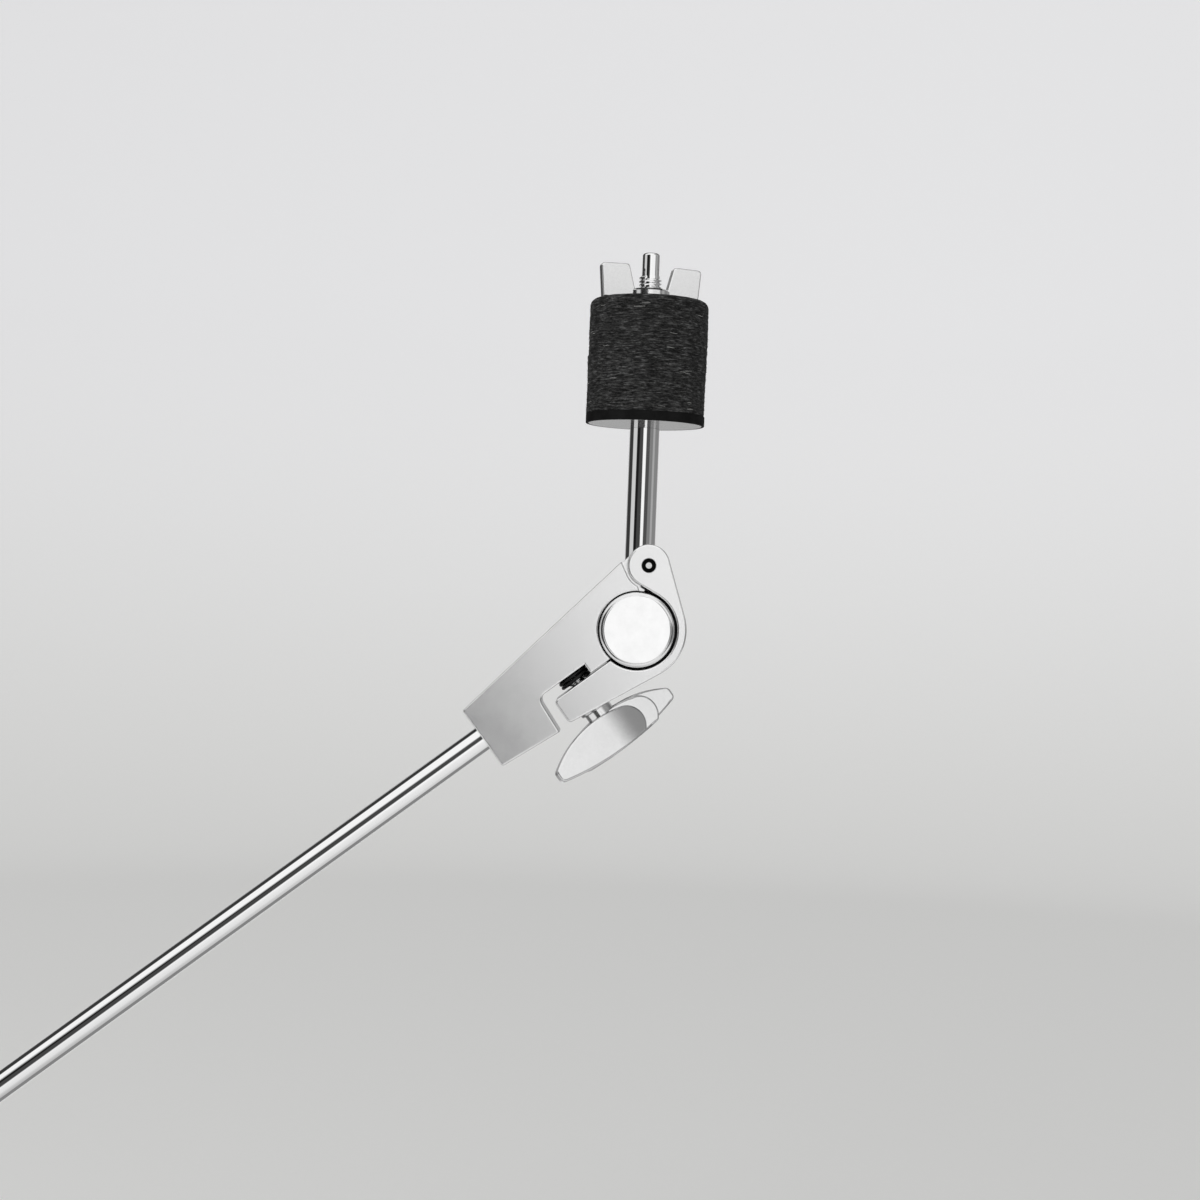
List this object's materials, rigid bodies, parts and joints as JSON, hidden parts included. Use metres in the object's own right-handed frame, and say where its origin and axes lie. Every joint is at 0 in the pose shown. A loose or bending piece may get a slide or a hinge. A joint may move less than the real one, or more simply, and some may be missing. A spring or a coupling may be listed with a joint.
{
  "type": "cymbal boom tilter",
  "caption": "Cymbal tilter on a boom rod: a hinged clamp closed by a wing screw grips a round drum, so the rod with the cymbal seat, felts and wing nut tilts and locks.",
  "frame": {"origin": "on the boom rod's axis, 20 mm in from its free end", "axes": "+Z along the tilter rod at rest, towards the wing nut; +X to the right with the boom rod climbing at 38 degrees in the XZ plane; +Y away from the drum's bright cap, towards the tilter rod's side"},
  "size_m": [0.2644, 0.0528, 0.3236],
  "materials": {
    "satin_casting": "satin",
    "bright_casting": "polished",
    "rod_chrome": "polished",
    "plain_steel": "satin",
    "drum_steel": "satin",
    "cap_mirror": "mirror polished",
    "insert_brass": "turned",
    "liner_black": "matte",
    "thrust_nylon": "matte",
    "spring_black": "satin black",
    "seat_steel": "polished",
    "seat_black_rubber": "matte",
    "sleeve_nylon": "matte",
    "charcoal_felt": "pressed wool"
  },
  "bodies": {
    "clamp": {"boom_rod": "rod_chrome", "boom_rod_pin": "plain_steel", "clamp_body": "satin_casting", "screw_insert": "insert_brass", "body_liner": "liner_black", "jaw_spring": "spring_black"},
    "jaw": {"clamp_jaw": "satin_casting", "hinge_pin": "plain_steel", "jaw_liner": "liner_black"},
    "screw_washer": {"wing_screw_washer": "plain_steel"},
    "wing_screw": {"wing_screw": "bright_casting", "wing_screw_stud": "plain_steel"},
    "tilter": {"tilt_drum": "drum_steel", "drum_cap": "cap_mirror", "drum_bolt": "plain_steel", "drum_dowel": "plain_steel", "thrust_washer": "thrust_nylon", "rod_head": "satin_casting", "tilter_rod": "rod_chrome", "tilter_rod_pin": "plain_steel", "seat_disc": "seat_steel", "seat_rubber": "seat_black_rubber", "cymbal_sleeve": "sleeve_nylon", "lower_felt": "charcoal_felt"},
    "lifting_felt": {"upper_felt": "charcoal_felt"},
    "wing_nut": {"wing_nut": "bright_casting"}
  },
  "joints": [
    {"name": "tilt", "type": "hinge", "parent": "clamp", "child": "tilter", "pos_m": [0.22464, 0, 0.17474], "axis": [0, 1, 0], "range_deg": [-100, 135]},
    {"name": "screw_travel", "type": "slide", "parent": "clamp", "child": "screw_washer", "axis": [0.6157, 0, -0.788], "range_m": [0, 0.00201]},
    {"name": "wing_screw_turn", "type": "hinge", "parent": "screw_washer", "child": "wing_screw", "pos_m": [0.21121, 0, 0.14775], "axis": [0.6157, 0, -0.788], "range_deg": [0, 720]},
    {"name": "jaw_open", "type": "hinge", "parent": "clamp", "child": "jaw", "pos_m": [0.22786, 0, 0.19693], "axis": [0, -1, 0], "range_deg": [0, 2.3]},
    {"name": "nut_travel", "type": "slide", "parent": "tilter", "child": "lifting_felt", "axis": [0, 0, 1], "range_m": [0, 0.00501]},
    {"name": "wing_nut_turn", "type": "hinge", "parent": "lifting_felt", "child": "wing_nut", "pos_m": [0.22514, 0.0175, 0.29074], "axis": [0, 0, 1], "range_deg": [0, 1440]}
  ],
  "couplings": [
    {"joint": "screw_travel", "follows": "wing_screw_turn", "m_per_rad": 0.00015915},
    {"joint": "jaw_open", "follows": "wing_screw_turn", "ratio": 0.00315},
    {"joint": "nut_travel", "follows": "wing_nut_turn", "m_per_rad": 0.00019894}
  ]
}
